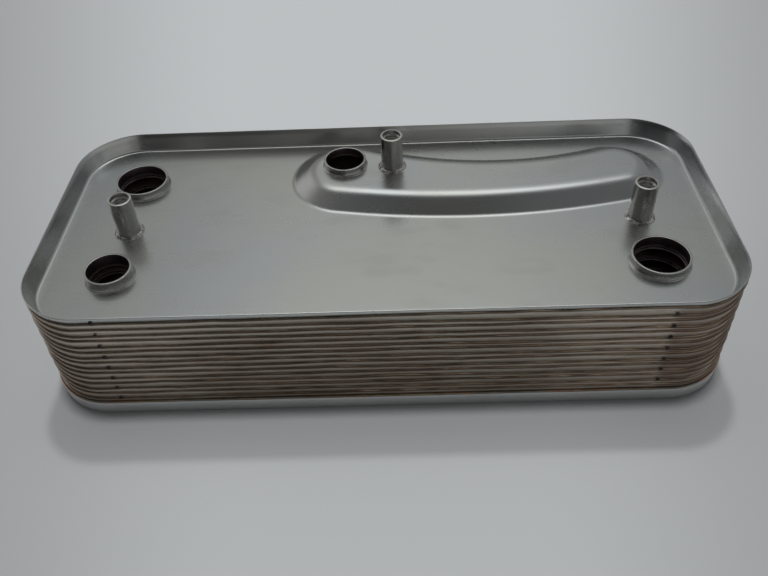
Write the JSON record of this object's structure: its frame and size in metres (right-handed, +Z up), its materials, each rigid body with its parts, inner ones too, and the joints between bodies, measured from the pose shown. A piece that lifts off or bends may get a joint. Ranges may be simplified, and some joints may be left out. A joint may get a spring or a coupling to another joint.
{
  "type": "plate heat exchanger",
  "caption": "Brazed plate heat exchanger: nested pressed steel trays, a rimmed cover with a raised transfer duct, short port collars and threaded bosses.",
  "frame": {"origin": "on the plane that the base plate rests on, under the middle of the part", "axes": "+X along the plates, towards the covered corner port; +Y across them, towards the side with the duct; +Z up, out of the cover"},
  "size_m": [0.1902, 0.0852, 0.0472],
  "materials": {
    "satin_steel": "satin, lightly mottled and scratched",
    "tinted_steel": "furnace-tinted brown grey",
    "plain_steel": "smooth satin",
    "collar_steel": "satin with a bright lip",
    "boss_steel": "turned, with a dull weld ring",
    "braze_copper": "dull copper braze"
  },
  "bodies": {
    "root": {"base_plate": "plain_steel", "braze_bead": "braze_copper", "channel_plate_01": "tinted_steel", "channel_plate_02": "tinted_steel", "channel_plate_03": "tinted_steel", "channel_plate_04": "tinted_steel", "channel_plate_05": "tinted_steel", "channel_plate_06": "tinted_steel", "channel_plate_07": "tinted_steel", "channel_plate_08": "tinted_steel", "channel_plate_09": "tinted_steel", "channel_plate_10": "tinted_steel", "channel_plate_11": "tinted_steel", "channel_plate_12": "tinted_steel", "channel_plate_13": "tinted_steel", "channel_plate_14": "tinted_steel", "cover_plate": "satin_steel", "end_plate": "tinted_steel", "port_collar_back_left": "collar_steel", "port_collar_front_left": "collar_steel", "port_collar_front_right": "collar_steel", "port_collar_transfer": "collar_steel", "threaded_boss_centre": "boss_steel", "threaded_boss_left": "boss_steel", "threaded_boss_right": "boss_steel"}
  },
  "joints": []
}
